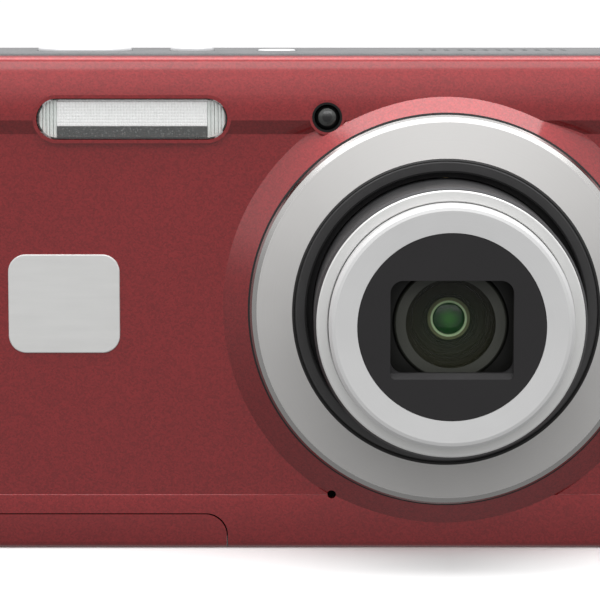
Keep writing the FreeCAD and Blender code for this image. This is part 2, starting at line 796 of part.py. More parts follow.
def flash_reflector():
    """Bright trough behind the window: its mouth is wider than its back."""
    shell = box(flash_x - 10.2, flash_x + 10.2, -8.1, -2.9, flash_z - 2.1, flash_z + 2.1)
    shell = shell.cut(box(-FAR, FAR, -8.2, panel_y + wall, 0, step_low_z + 0.3))
    section = Part.makePolygon([V(0, -8.2, -1.8), V(0, -4.6, -1.3), V(0, -3.4, 0), V(0, -4.6, 1.3),
                                V(0, -8.2, 1.8), V(0, -8.2, -1.8)])
    trough = Part.Face(section).extrude(V(19.6, 0, 0))
    trough.translate(V(flash_x - 9.8, 0, flash_z))
    return shell.cut(trough)


def flash_tube():
    return rod_x(-4.9, flash_z, 0.9, flash_x - 9.0, flash_x + 9.0)


def flash_capacitor():
    can = rod_x(1.2, 46.5, 3.2, -41.0, -12.0)
    rim = rod_x(1.2, 46.5, 4.0, -39.6, -39.2).cut(rod_x(1.2, 46.5, 2.95, -39.6, -39.2))
    return can.cut(rim)


def focus_lamp_bezel():
    ring = rod_y(lamp_x, lamp_z, lamp_r, front_y, -7.4)
    return ring.cut(rod_y(lamp_x, lamp_z, 1.45, -20, 0))


def focus_lamp():
    """Lamp with a domed nose inside its bezel."""
    lamp = rod_y(lamp_x, lamp_z, 1.4, -9.2, -5.6)
    dome = Part.makeSphere(1.75, V(lamp_x, -8.15, lamp_z)).common(rod_y(lamp_x, lamp_z, 1.4, -12, -8.5))
    return lamp.cut(rod_y(lamp_x, lamp_z, 2, -12, -8.5)).fuse(dome)


def microphone():
    mic = rod_y(mic_x, mic_z, 1.9, -7.6, -6.0)
    return mic.cut(rod_y(mic_x, mic_z, 0.4, -8, -7.2))


def speaker():
    x = speaker_x0 + speaker_pitch * (speaker_columns - 1) / 2
    body = pill_top(x, 0, 20.0, 9.0, key_z - 3.6, key_z - 0.2)
    cone = pill_top(x, 0, 17.0, 6.4, key_z - 0.8, key_z + 0.2)
    return body.cut(cone).fuse(pill_top(x, 0, 8.0, 4.0, key_z - 1.4, key_z - 0.4))


def badge():
    plate = rounded_box(badge_x - badge_w / 2, badge_x + badge_w / 2, panel_y - 0.3, panel_y,
                        badge_z - badge_h / 2, badge_z + badge_h / 2, 2.0, "y")
    face_edges = [e for e in plate.Edges if e.BoundBox.YMax < panel_y - 0.29]
    return plate.makeFillet(0.12, face_edges)


def display_window():
    return rounded_box(display_x0 + 0.05, display_x1 - 0.05, 8.35, rear_y - 0.05, display_z0 + 0.05,
                       display_z1 - 0.05, 1.45, "y")


def display_panel():
    return box(display_x0 + 0.6, display_x1 - 0.6, 6.7, 8.2, display_z0 + 0.6, display_z1 - 0.6)


def key_board():
    """Switch board behind the rear controls, with a switch under each of them."""
    board = box(-42.5, -19.4, 5.8, 6.3, 7.0, 50.0)
    spots = [(x, z) for x, z, _ in rear_buttons.values()]
    spots += [(nav_x, nav_z), (rocker_x - 4.5, rocker_z), (rocker_x + 4.5, rocker_z)]
    spots += [(nav_x + 6.5, nav_z), (nav_x - 6.5, nav_z), (nav_x, nav_z + 6.5), (nav_x, nav_z - 6.5)]
    for x, z in spots:
        board = board.fuse(rod_y(x, z, 1.4, 6.3, 6.5))
    return board


def rear_button(x, z, r):
    head = rod_y(x, z, r, 7.4, button_rear_y)
    crown = [e for e in head.Edges if e.BoundBox.YMin > button_rear_y - 0.01]
    head = head.makeFillet(0.3, crown)
    flange = rod_y(x, z, r + flange_lip, 7.4, 8.15)
    return head.fuse(flange).fuse(rod_y(x, z, 0.8, 6.95, 7.4))


def ok_button():
    head = rod_y(nav_x, nav_z, ok_r, 7.75, button_rear_y)
    crown = [e for e in head.Edges if e.BoundBox.YMin > button_rear_y - 0.01]
    return head.makeFillet(0.3, crown).fuse(rod_y(nav_x, nav_z, 1.5, 6.95, 7.75))


def nav_gimbal():
    hub = rod_y(nav_x, nav_z, 4.0, 6.95, 7.2)
    return hub.cut(rod_y(nav_x, nav_z, 2.1, 5, 9))


def nav_ring():
    ring = rod_y(nav_x, nav_z, nav_r, 7.45, button_rear_y)
    edges = [e for e in ring.Edges if e.BoundBox.YMin > button_rear_y - 0.01]
    ring = ring.makeFillet(0.5, edges)
    ring = ring.fuse(rod_y(nav_x, nav_z, nav_r + 0.7, 7.45, 7.75))
    return ring.cut(rod_y(nav_x, nav_z, nav_bore_r, 5, 12))


def zoom_rocker():
    bar = pill_front(rocker_x, rocker_z, rocker_w, rocker_h, 7.4, button_rear_y)
    edges = [e for e in bar.Edges if e.BoundBox.YMin > button_rear_y - 0.01]
    bar = bar.makeFillet(0.5, edges)
    return bar.cut(rod_z(rocker_x, 10.9, 1.6, 40, 52))


def flap_opening():
    hole = box(43.5, 47.0, flap_y0 - 0.6, flap_y1 + 0.12, flap_z0 - 0.12, flap_z1 + 0.12)
    return hole.fuse(rod_z(flap_x, flap_y0, 0.28, flap_z0 - 0.9, flap_z1 + 0.9))


def port_cover():
    flap = box(flap_x - 0.4, flap_x + 0.45, flap_y0, flap_y1, flap_z0, flap_z1)
    flap = flap.fuse(rod_z(flap_x, flap_y0, 0.45, flap_z0, flap_z1))
    notch = rod_z(flap_x + 1.1, flap_y1, 0.9, 22.0, 26.0)
    flap = flap.cut(notch)
    return flap.fuse(rod_z(flap_x, flap_y0, 0.22, flap_z0 - 0.8, flap_z1 + 0.8))


def usb_socket():
    shell = rounded_box(39.0, 44.6, 1.6, 4.2, 20.2, 27.8, 0.6, "x")
    cavity = rounded_box(40.0, 45.0, 1.9, 3.9, 20.5, 27.5, 0.4, "x")
    tongue = box(39.5, 43.9, 2.7, 3.15, 21.8, 26.2)
    return shell.cut(cavity).fuse(tongue)


def eyelet_block(grow):
    w = eyelet_w / 2 + grow
    h = eyelet_h / 2 + grow
    return rounded_box(-half_width - 2, -half_width + eyelet_depth, -w, w, eyelet_z - h, eyelet_z + h,
                       1.0, "x")


def strap_eyelet():
    """Cup let into the side wall, with an upright bar for the strap's loop."""
    cup = eyelet_block(0).common(box(-half_width + 0.05, 0, -FAR, FAR, -FAR, FAR))
    w = eyelet_w / 2 - 0.4
    h = eyelet_h / 2 - 0.4
    room = rounded_box(-half_width - 2, -half_width + eyelet_depth - 0.4, -w, w, eyelet_z - h,
                       eyelet_z + h, 0.8, "x")
    bar = rod_z(-half_width + 0.85, 0, 0.6, eyelet_z - h - 0.2, eyelet_z + h + 0.2)
    return cup.cut(room).fuse(bar)


def main():
    os.makedirs(OUT_DIR, exist_ok=True)
    pieces = {
        "front_cover": front_cover,
        "rear_cover": rear_cover,
        "top_cover": top_cover,
        "chassis": chassis,
        "tripod_insert": tripod_insert,
        "screws": screws,
        "battery_holder": battery_holder,
        "battery": battery,
        "memory_card": memory_card,
        "battery_door": battery_door,
        "door_hinge_pin": door_hinge_pin,
        "lens_ring": lens_ring,
        "lens_trim": lens_trim,
        "fixed_tube": fixed_tube,
        "cam_ring": cam_ring,
        "outer_barrel": outer_barrel,
        "guide_pins": guide_pins,
        "barrel_cap": barrel_cap,
        "inner_barrel": inner_barrel,
        "front_disc": front_disc,
        "lens_holder": lens_holder,
        "iris_plate": iris_plate,
        "focus_holder": focus_holder,
        "lens_base": lens_base,
        "image_sensor": image_sensor,
        "zoom_motor": zoom_motor,
        "zoom_pinion": zoom_pinion,
        "main_board": main_board,
        "flash_window": flash_window,
        "flash_reflector": flash_reflector,
        "flash_tube": flash_tube,
        "flash_capacitor": flash_capacitor,
        "focus_lamp_bezel": focus_lamp_bezel,
        "focus_lamp": focus_lamp,
        "microphone": microphone,
        "speaker": speaker,
        "top_board": top_board,
        "badge": badge,
        "display_window": display_window,
        "display_panel": display_panel,
        "key_board": key_board,
        "ok_button": ok_button,
        "nav_gimbal": nav_gimbal,
        "nav_ring": nav_ring,
        "zoom_rocker": zoom_rocker,
        "port_cover": port_cover,
        "usb_socket": usb_socket,
        "strap_eyelet": strap_eyelet,
    }
    for name, make in pieces.items():
        save(make(), name)
    save(cover_blade(1), "upper_blade")
    save(cover_blade(-1), "lower_blade")
    save(glass(7.0, 22.0, 20.9, 0.55, 0.2, 2.0), "front_lens")
    save(glass(4.0, 17.2, 16.2, 0.3, 0.3, 0.5), "rear_lens")
    save(glass(5.0, 0.5, -0.5, 0.35, 0.2, 0.4), "focus_lens")
    for name, (x, width, depth, crown) in top_buttons.items():
        save(top_button(x, width, depth, crown), name)
    for name, (x, z, r) in rear_buttons.items():
        save(rear_button(x, z, r), name)


main()
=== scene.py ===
import math

import bmesh
import bpy
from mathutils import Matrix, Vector


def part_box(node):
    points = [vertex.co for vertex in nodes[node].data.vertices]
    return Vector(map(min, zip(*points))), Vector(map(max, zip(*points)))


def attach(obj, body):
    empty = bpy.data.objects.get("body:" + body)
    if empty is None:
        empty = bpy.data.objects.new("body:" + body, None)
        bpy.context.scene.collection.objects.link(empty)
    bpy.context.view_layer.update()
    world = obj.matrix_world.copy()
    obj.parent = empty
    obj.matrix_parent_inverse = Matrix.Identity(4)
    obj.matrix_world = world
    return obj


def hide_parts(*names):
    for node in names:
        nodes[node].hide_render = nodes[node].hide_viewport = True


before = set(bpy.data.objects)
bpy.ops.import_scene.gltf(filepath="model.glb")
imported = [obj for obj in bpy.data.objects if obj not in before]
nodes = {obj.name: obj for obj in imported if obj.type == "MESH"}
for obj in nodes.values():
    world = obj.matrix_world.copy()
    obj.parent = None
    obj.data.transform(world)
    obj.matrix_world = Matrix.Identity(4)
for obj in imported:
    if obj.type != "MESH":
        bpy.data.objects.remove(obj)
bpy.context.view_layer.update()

MM = 0.001
SHARP = math.radians(40)
AIM_POINT = (0.0, 0.0, 0.03)


def middle(name):
    """Middle of a node's box."""
    low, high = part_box(name)
    return (Vector(low) + Vector(high)) / 2


LENS = middle("lens_ring")
# The rear shell's face; the display window lies 0.05 mm below it.
REAR_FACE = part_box("display_window")[1][1] + 0.05 * MM


# ---------------------------------------------------------------- camera, lights and floor

def aim(obj, target):
    """Turns a camera or a lamp towards a point."""
    obj.rotation_mode = "QUATERNION"
    obj.rotation_quaternion = (Vector(target) - obj.location).to_track_quat("-Z", "Y")


def make_camera():
    """Front view from a little above, from about a third of a metre."""
    tilt = math.radians(6.96)
    distance = 0.347
    height = 0.07
    data = bpy.data.cameras.new("camera")
    data.sensor_width = 36.0
    data.lens = 179.2
    cam = bpy.data.objects.new("camera", data)
    bpy.context.scene.collection.objects.link(cam)
    cam.location = (0.0, -distance, height)
    aim(cam, (0.0, 0.0, cam.location.z + cam.location.y * math.tan(tilt)))
    bpy.context.scene.camera = cam


def softbox(name, place, size, glow):
    """Area light of the given width and height whose face has the radiance glow."""
    data = bpy.data.lights.new(name, "AREA")
    data.shape = "RECTANGLE"
    data.size, data.size_y = size
    data.energy = glow * math.pi * size[0] * size[1]
    lamp = bpy.data.objects.new(name, data)
    bpy.context.scene.collection.objects.link(lamp)
    lamp.location = place
    aim(lamp, AIM_POINT)


def make_lights():
    """One large softbox overhead and one above the camera."""
    softbox("overhead", (0.0, -0.06, 0.55), (0.70, 0.30), 3.1)
    softbox("upper_front", (0.05, -0.52, 0.40), (0.70, 0.24), 1.7)


def world_range(tree, value, source, target):
    """Value taken smoothly from one range to another."""
    made = tree.nodes.new("ShaderNodeMapRange")
    made.interpolation_type = "SMOOTHSTEP"
    tree.links.new(value, made.inputs["Value"])
    made.inputs["From Min"].default_value, made.inputs["From Max"].default_value = source
    made.inputs["To Min"].default_value, made.inputs["To Max"].default_value = target
    return made.outputs[0]


def world_math(tree, operation, first, second):
    """Sum, product or larger one of two values."""
    made = tree.nodes.new("ShaderNodeMath")
    made.operation = operation
    tree.links.new(first, made.inputs[0])
    tree.links.new(second, made.inputs[1])
    return made.outputs[0]


def make_world():
    """Room light: bright above and behind the object, dimmer low down, and plain white to look at."""
    world = bpy.data.worlds.new("studio")
    bpy.context.scene.world = world
    world.use_nodes = True
    tree = world.node_tree
    seen = tree.nodes["Background"]
    seen.inputs["Color"].default_value = (1, 1, 1, 1)
    seen.inputs["Strength"].default_value = 1.0
    direction = tree.nodes.new("ShaderNodeTexCoord").outputs["Generated"]
    parts = tree.nodes.new("ShaderNodeSeparateXYZ")
    tree.links.new(direction, parts.inputs[0])
    height = world_range(tree, parts.outputs["Z"], (-0.02, 0.34), (0.0, 0.85))
    low = world_range(tree, parts.outputs["Z"], (-0.60, -0.05), (0.42, 0.58))
    backdrop = world_range(tree, parts.outputs["Y"], (-0.10, 0.35), (0.0, 1.0))
    raised = world_range(tree, parts.outputs["Z"], (-0.25, 0.02), (0.1, 1.0))
    behind = world_math(tree, "MULTIPLY", backdrop, raised)
    front = world_math(tree, "ADD", height, low)
    strength = world_math(tree, "MAXIMUM", front, behind)
    lighting = tree.nodes.new("ShaderNodeBackground")
    tree.links.new(strength, lighting.inputs["Strength"])
    pick = tree.nodes.new("ShaderNodeMixShader")
    tree.links.new(tree.nodes.new("ShaderNodeLightPath").outputs["Is Camera Ray"], pick.inputs["Fac"])
    tree.links.new(lighting.outputs[0], pick.inputs[1])
    tree.links.new(seen.outputs[0], pick.inputs[2])
    tree.links.new(pick.outputs[0], tree.nodes["World Output"].inputs["Surface"])


def make_floor():
    """Pale floor; it takes shadows and light but stays out of the object's reflections."""
    size = 4.0
    drop = 0.1 * MM
    square = [(-size, -size, 0), (size, -size, 0), (size, size, 0), (-size, size, 0)]
    mesh = bpy.data.meshes.new("floor")
    mesh.from_pydata(square, [], [(0, 1, 2, 3)])
    floor = bpy.data.objects.new("floor", mesh)
    bpy.context.scene.collection.objects.link(floor)
    floor.location = (0, 0, -drop)
    floor.visible_glossy = False
    floor.visible_diffuse = False
    paper = Finish("floor_paper", roughness=0.9, specular=0.0)
    paper.colour(paper.noise(40.0), (0.955, 0.955, 0.955), (0.965, 0.965, 0.965))
    floor.data.materials.append(paper.material)


# ---------------------------------------------------------------- materials

class Finish:
    """A procedural material. Sizes of grain are in millimetres, in the object's own space."""

    SOCKETS = {
        "metallic": "Metallic",
        "roughness": "Roughness",
        "specular": "Specular IOR Level",
        "coat": "Coat Weight",
        "coat_roughness": "Coat Roughness",
        "coat_ior": "Coat IOR",
        "alpha": "Alpha",
    }

    def __init__(self, name, **values):
        self.material = bpy.data.materials.new(name)
        self.material.use_nodes = True
        self.tree = self.material.node_tree
        self.shader = self.tree.nodes["Principled BSDF"]
        for key, value in values.items():
            self.shader.inputs[self.SOCKETS[key]].default_value = value
        self.place = self.tree.nodes.new("ShaderNodeTexCoord").outputs["Object"]
        self.split = None

    def link(self, value, socket):
        """Joins another node's output to the socket, or sets a plain number there."""
        if isinstance(value, bpy.types.NodeSocket):
            self.tree.links.new(value, socket)
        else:
            socket.default_value = value

    def math(self, operation, a, b=0.0):
        made = self.tree.nodes.new("ShaderNodeMath")
        made.operation = operation
        self.link(a, made.inputs[0])
        self.link(b, made.inputs[1])
        return made.outputs[0]

    def weigh(self, first, second, share):
        """The two values mixed, with the given share of the first."""
        return self.math("ADD", self.math("MULTIPLY", first, share), self.math("MULTIPLY", second, 1 - share))

    def axis(self, name):
        """One coordinate of the point, in metres."""
        if self.split is None:
            self.split = self.tree.nodes.new("ShaderNodeSeparateXYZ")
            self.tree.links.new(self.place, self.split.inputs[0])
        return self.split.outputs[name]

    def offset(self, name, centre):
        return self.math("SUBTRACT", self.axis(name), centre)

    def radius(self, centre):
        """Distance in metres from the line through centre that runs front to back."""
        across = self.offset("X", centre.x)
        upright = self.offset("Z", centre.z)
        squares = (self.math("MULTIPLY", across, across), self.math("MULTIPLY", upright, upright))
        return self.math("SQRT", self.math("ADD", *squares))

    def noise(self, size, detail=3.0, rough=0.5, stretch=None, seed=0.0):
        """Noise whose lumps are about size millimetres across; stretch squeezes them per axis."""
        made = self.tree.nodes.new("ShaderNodeTexNoise")
        made.noise_dimensions = "4D"
        made.inputs["Scale"].default_value = 1000.0 / size
        made.inputs["Detail"].default_value = detail
        made.inputs["Roughness"].default_value = rough
        made.inputs["W"].default_value = seed
        place = self.place
        if stretch:
            scaled = self.tree.nodes.new("ShaderNodeMapping")
            scaled.inputs["Scale"].default_value = stretch
            self.tree.links.new(place, scaled.inputs["Vector"])
            place = scaled.outputs[0]
        self.tree.links.new(place, made.inputs["Vector"])
        return made.outputs["Fac"]

    def line_noise(self, value, size):
        """Noise along one measure only, such as the radius: it draws turned lines."""
        made = self.tree.nodes.new("ShaderNodeTexNoise")
        made.noise_dimensions = "1D"
        made.inputs["Scale"].default_value = 1.0
        made.inputs["Detail"].default_value = 4.0
        self.tree.links.new(self.math("MULTIPLY", value, 1000.0 / size), made.inputs["W"])
        return made.outputs["Fac"]

    def cells(self, size):
        """A value for each small cell, picked at random."""
        made = self.tree.nodes.new("ShaderNodeTexVoronoi")
        made.inputs["Scale"].default_value = 1000.0 / size
        self.tree.links.new(self.place, made.inputs["Vector"])
        value = self.tree.nodes.new("ShaderNodeSeparateColor")
        self.tree.links.new(made.outputs["Color"], value.inputs[0])
        return value.outputs[0]

    def cell_distance(self, size):
        """Distance from the middle of each small cell, as a share of its size."""
        made = self.tree.nodes.new("ShaderNodeTexVoronoi")
        made.inputs["Scale"].default_value = 1000.0 / size
        self.tree.links.new(self.place, made.inputs["Vector"])
        return made.outputs["Distance"]

    def span(self, value, source, target, smooth=False):
        """Value taken from one range to another and held at its ends."""
        made = self.tree.nodes.new("ShaderNodeMapRange")
        if smooth:
            made.interpolation_type = "SMOOTHSTEP"
        self.link(value, made.inputs["Value"])
        made.inputs["From Min"].default_value, made.inputs["From Max"].default_value = source
        made.inputs["To Min"].default_value, made.inputs["To Max"].default_value = target
        return made.outputs[0]

    def within(self, value, limit, soft):
        """1 where value is under limit, 0 above it, with a soft edge."""
        return self.span(value, (limit - soft, limit + soft), (1.0, 0.0), smooth=True)

    def beyond(self, value, limit, soft):
        """0 where value is under limit, 1 above it, with a soft edge."""
        return self.math("SUBTRACT", 1.0, self.within(value, limit, soft))

    def blend(self, factor, first, second):
        """Colour between the first (factor 0) and the second (factor 1)."""
        made = self.tree.nodes.new("ShaderNodeMix")
        made.data_type = "RGBA"
        self.link(factor, made.inputs[0])
        for value, socket in ((first, made.inputs[6]), (second, made.inputs[7])):
            if not isinstance(value, bpy.types.NodeSocket):
                value = (*value, 1.0)
            self.link(value, socket)
        return made.outputs[2]

    def colour(self, factor, first, second):
        self.tree.links.new(self.blend(factor, first, second), self.shader.inputs["Base Color"])

    def set(self, key, value):
        self.link(value, self.shader.inputs[self.SOCKETS[key]])

    def polish(self, value, rough, source=(0.3, 0.7)):
        """Roughness that goes from one limit to the other as value crosses source."""
        self.set("roughness", self.span(value, source, rough))

    def relief(self, height, depth):
        """Surface relief of the given depth in millimetres."""
        made = self.tree.nodes.new("ShaderNodeBump")
        made.inputs["Strength"].default_value = 1.0
        made.inputs["Distance"].default_value = depth * MM
        self.tree.links.new(height, made.inputs["Height"])
        self.tree.links.new(made.outputs[0], self.shader.inputs["Normal"])


def red_paint():
    """Metallic red: bright flakes in a deep red base, under a clear gloss coat."""
    f = Finish("red_metallic_paint", metallic=0.72, coat=1.0, coat_roughness=0.07, coat_ior=1.6)
    flakes = f.cells(0.17)
    patches = f.noise(9.0, detail=2.0)
    f.colour(f.weigh(flakes, patches, 0.75), (0.195, 0.006, 0.009), (0.335, 0.016, 0.020))
    f.polish(f.noise(3.0), (0.40, 0.46))
    f.relief(f.weigh(f.noise(0.7, detail=2.0), flakes, 0.6), 0.0035)
    return f.material


def top_grey():
    """Fine bead-blasted grey of the top plate, a little rubbed."""
    f = Finish("top_plate_grey", metallic=0.35)
    grain = f.cells(0.09)
    f.colour(f.weigh(grain, f.noise(7.0), 0.5), (0.12, 0.12, 0.125), (0.20, 0.20, 0.205))
    f.polish(f.noise(5.0, seed=3.0), (0.48, 0.62))
    f.relief(grain, 0.008)
    return f.material


def turned_silver(name, tone, rough, line_size, line_depth, metallic=0.4, bevels=None):
    """Bright metal turned about the lens axis, polished on the bevels inside and outside its face."""
    f = Finish(name, metallic=metallic, specular=0.7)
    radius = f.radius(LENS)
    lines = f.line_noise(radius, line_size)
    haze = f.noise(4.0)
    f.colour(f.weigh(lines, haze, 0.5), [c * 0.90 for c in tone], tone)
    satin = f.span(f.math("ADD", lines, haze), (0.7, 1.3), rough)
    if bevels:
        inner, outer = bevels
        edge = 0.03 * MM
        face = f.math("MULTIPLY", f.within(radius, outer * MM, edge), f.beyond(radius, inner * MM, edge))
        f.set("metallic", f.span(face, (0.0, 1.0), (1.0, metallic)))
        satin = f.math("MULTIPLY", satin, f.span(face, (0.0, 1.0), (0.4, 1.0)))
    f.set("roughness", satin)
    f.relief(f.weigh(lines, f.cells(0.10), 0.6), line_depth)
    return f.material


def charcoal(name, dark, light, rough):
    """Satin charcoal of the barrel, with faint turned lines along the axis."""
    f = Finish(name, metallic=0.55)
    lines = f.line_noise(f.axis("Y"), 0.22)
    f.colour(f.weigh(lines, f.noise(2.0), 0.6), dark, light)
    f.polish(f.noise(3.0, seed=2.0), rough)
    f.relief(f.math("ADD", lines, f.cells(0.08)), 0.003)
    return f.material


def moulded(name, dark, light, rough=(0.42, 0.55), grain=0.25, depth=0.01, **values):
    """Moulded plastic: spark-eroded grain, with colour and polish that vary slowly."""
    f = Finish(name, **values)
    texture = f.noise(grain, detail=4.0, rough=0.6)
    f.colour(f.weigh(texture, f.noise(6.0, seed=1.0), 0.5), dark, light)
    f.polish(f.noise(4.0, seed=5.0), rough)
    f.relief(texture, depth)
    return f.material


def bare_metal(name, dark, light, rough=(0.25, 0.42), stretch=(1, 1, 14), metallic=1.0):
    """Drawn or rolled metal, with scratches along one direction."""
    f = Finish(name, metallic=metallic)
    drawn = f.noise(1.2, detail=5.0, rough=0.65, stretch=stretch)
    f.colour(f.weigh(drawn, f.noise(3.0), 0.6), dark, light)
    f.polish(drawn, rough, source=(0.35, 0.65))
    f.relief(drawn, 0.003)
    return f.material


def circuit_board():
    """Green solder mask with bright pads and darker tracks."""
    f = Finish("circuit_board", specular=0.5)
    pad = f.within(f.cell_distance(1.1), 0.16, 0.02)
    track = f.span(f.noise(2.2, detail=1.0, stretch=(1, 1, 0.25)), (0.48, 0.52), (0.0, 1.0))
    mask = f.blend(track, (0.010, 0.075, 0.035), (0.018, 0.13, 0.06))
    f.colour(pad, mask, (0.70, 0.62, 0.42))
    f.set("metallic", pad)
    f.polish(f.noise(3.0), (0.28, 0.42))
    f.relief(pad, 0.03)
    return f.material


def display_glass():
    """Black window with a slightly lighter picture area and faint smudges."""
    low, high = (Vector(corner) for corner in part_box("display_window"))
    centre = (low + high) / 2
    border = 2.4 * MM
    edge = 0.06 * MM
    f = Finish("display_glass", specular=0.4, coat=0.35, coat_roughness=0.02)
    across = f.math("SUBTRACT", f.math("ABSOLUTE", f.offset("X", centre.x)), (high.x - low.x) / 2 - border)
    upright = f.math("SUBTRACT", f.math("ABSOLUTE", f.offset("Z", centre.z)), (high.z - low.z) / 2 - border)
    picture = f.within(f.math("MAXIMUM", across, upright), 0.0, edge)
    smudge = f.noise(14.0, rough=0.6)
    screen = f.blend(smudge, (0.016, 0.018, 0.022), (0.026, 0.029, 0.034))
    f.colour(picture, (0.004, 0.004, 0.005), screen)
    f.polish(smudge, (0.05, 0.16), source=(0.35, 0.65))
    f.relief(f.noise(20.0, detail=1.0), 0.01)
    return f.material


def lens_coating():
    """Coated glass: dark green and amber by distance from the axis."""
    f = Finish("coated_glass", alpha=0.07, specular=0.35, coat=0.1, coat_roughness=0.02)
    amber = f.span(f.radius(LENS), (1.5 * MM, 6.0 * MM), (0.0, 1.0), smooth=True)
    f.colour(f.weigh(amber, f.noise(3.0), 0.85), (0.030, 0.075, 0.030), (0.060, 0.050, 0.020))
    f.polish(f.noise(2.0), (0.02, 0.06))
    f.relief(f.noise(5.0, detail=1.0), 0.001)
    return f.material


def iris_black():
    """Matte black plate with a painted pale green reflection of the coatings on the rim round the aperture.
    """
    f = Finish("iris_black", specular=0.4)
    radius = f.radius(LENS)
    # edge and rim mask the painted pale green reflection of the coatings, brightest at the aperture's edge.
    edge = f.within(radius, 2.02 * MM, 0.04 * MM)
    rim = f.within(radius, 2.38 * MM, 0.06 * MM)
    grain = f.noise(0.3, detail=4.0)
    black = f.blend(grain, (0.006, 0.007, 0.005), (0.014, 0.016, 0.010))
    f.colour(edge, f.blend(rim, black, (0.15, 0.17, 0.075)), (0.62, 0.84, 0.48))
    f.polish(grain, (0.35, 0.55))
    f.relief(grain, 0.01)
    return f.material


def pupil_green():
    """Painted green reflection of the inner elements, brighter in the middle."""
    f = Finish("pupil_painted_reflection", specular=0.4, coat=0.4, coat_roughness=0.05)
    uneven = f.math("ADD", f.radius(LENS), f.math("MULTIPLY", f.noise(2.4), 0.9 * MM))
    outward = f.span(uneven, (0.4 * MM, 2.0 * MM), (0.0, 1.0), smooth=True)
    # Painted reflection: bright green in the middle, darker green outwards.
    f.colour(outward, (0.045, 0.26, 0.035), (0.006, 0.060, 0.014))
    f.polish(f.noise(1.0), (0.08, 0.2))
    f.relief(f.noise(3.0, detail=1.0), 0.002)
    return f.material


def lens_bezel():
    """Charcoal ring round the front glass, in a black carrier."""
    f = Finish("lens_bezel", specular=0.35)
    grain = f.noise(0.2, detail=4.0)
    ring = f.blend(grain, (0.042, 0.044, 0.036), (0.060, 0.062, 0.052))
    f.colour(f.within(f.radius(LENS), 6.15 * MM, 0.08 * MM), (0.003, 0.003, 0.002), ring)
    f.polish(grain, (0.42, 0.52))
    f.relief(grain, 0.006)
    return f.material


def baffle_olive():
    """Black-brown steps round the inner elements, with a faint painted olive reflection of the coatings in
    their lighter lines.
    """
    f = Finish("baffle_olive", specular=0.3)
    lines = f.line_noise(f.radius(LENS), 0.5)
    # The olive of the lighter lines is a painted reflection of the coatings.
    f.colour(lines, (0.003, 0.004, 0.001), (0.020, 0.020, 0.007))
    f.polish(lines, (0.22, 0.42))
    f.relief(lines, 0.02)
    return f.material


def lamp_dark():
    """Dark lamp window with a painted highlight ring inside it."""
    f = Finish("lamp_window", specular=0.5, coat=0.5, coat_roughness=0.05)
    radius = f.radius(middle("focus_lamp"))
    # inner and ring mask the painted highlight ring in the lamp window.
    inner = f.beyond(radius, 0.55 * MM, 0.10 * MM)
    ring = f.math("MULTIPLY", f.within(radius, 1.02 * MM, 0.08 * MM), inner)
    f.colour(ring, (0.006, 0.006, 0.006), (0.030, 0.032, 0.030))
    f.polish(f.noise(1.5), (0.10, 0.2))
    f.relief(ring, 0.01)
    return f.material


def clear_cover():
    """Clear plastic with a faint haze."""
    f = Finish("clear_cover", alpha=0.06, specular=0.8, coat=1.0, coat_roughness=0.02)
    f.colour(f.noise(3.0), (0.80, 0.83, 0.81), (0.90, 0.92, 0.91))
    f.polish(f.noise(2.0), (0.04, 0.10))
    f.relief(f.noise(4.0, detail=1.0), 0.002)
    return f.material


def prism_white(name, dark, light):
    """Milky prisms behind the clear cover of the flash."""
    f = Finish(name, specular=0.6)
    f.colour(f.noise(1.4), dark, light)
    f.polish(f.noise(0.6), (0.18, 0.35))
    f.relief(f.noise(0.3), 0.01)
    return f.material


def dotted_band():
    """Dark strip under the flash prisms, speckled with light."""
    f = Finish("flash_band_dark", specular=0.5)
    specks = f.within(f.cell_distance(0.34), 0.30, 0.10)
    glint = f.math("MULTIPLY", specks, f.noise(1.8, detail=2.0))
    f.colour(glint, (0.008, 0.009, 0.009), (0.12, 0.125, 0.122))
    f.polish(f.noise(1.0), (0.3, 0.45))
    f.relief(specks, 0.02)
    return f.material


def battery_sleeve():
    """Dark sleeve with a plain paler band round it and scuffs."""
    f = Finish("battery_sleeve", specular=0.5)
    height = f.math("ABSOLUTE", f.offset("Z", middle("battery").z))
    band = f.within(height, 9.0 * MM, 0.05 * MM)
    scuffs = f.noise(2.5, detail=5.0, rough=0.7)
    dark = f.blend(scuffs, (0.020, 0.022, 0.028), (0.040, 0.043, 0.052))
    f.colour(band, dark, (0.22, 0.24, 0.27))
    f.polish(scuffs, (0.32, 0.5))
    f.relief(scuffs, 0.01)
    return f.material


def brushed_badge():
    """Pale silver paint with fine lines across."""
    f = Finish("badge_silver", metallic=0.35, specular=0.6)
    lines = f.noise(0.9, detail=5.0, rough=0.65, stretch=(0.08, 1, 1))
    f.colour(f.weigh(lines, f.noise(4.0), 0.7), (0.66, 0.66, 0.65), (0.78, 0.78, 0.77))
    f.polish(lines, (0.34, 0.46), source=(0.35, 0.65))
    f.relief(lines, 0.0015)
    return f.material


def icon_white():
    """Matte off-white ink of the symbols on the back."""
    f = Finish("icon_white", specular=0.3)
    f.colour(f.noise(0.5), (0.62, 0.62, 0.63), (0.74, 0.74, 0.75))
    f.polish(f.noise(0.4), (0.5, 0.65))
    f.relief(f.noise(0.2), 0.002)
    return f.material


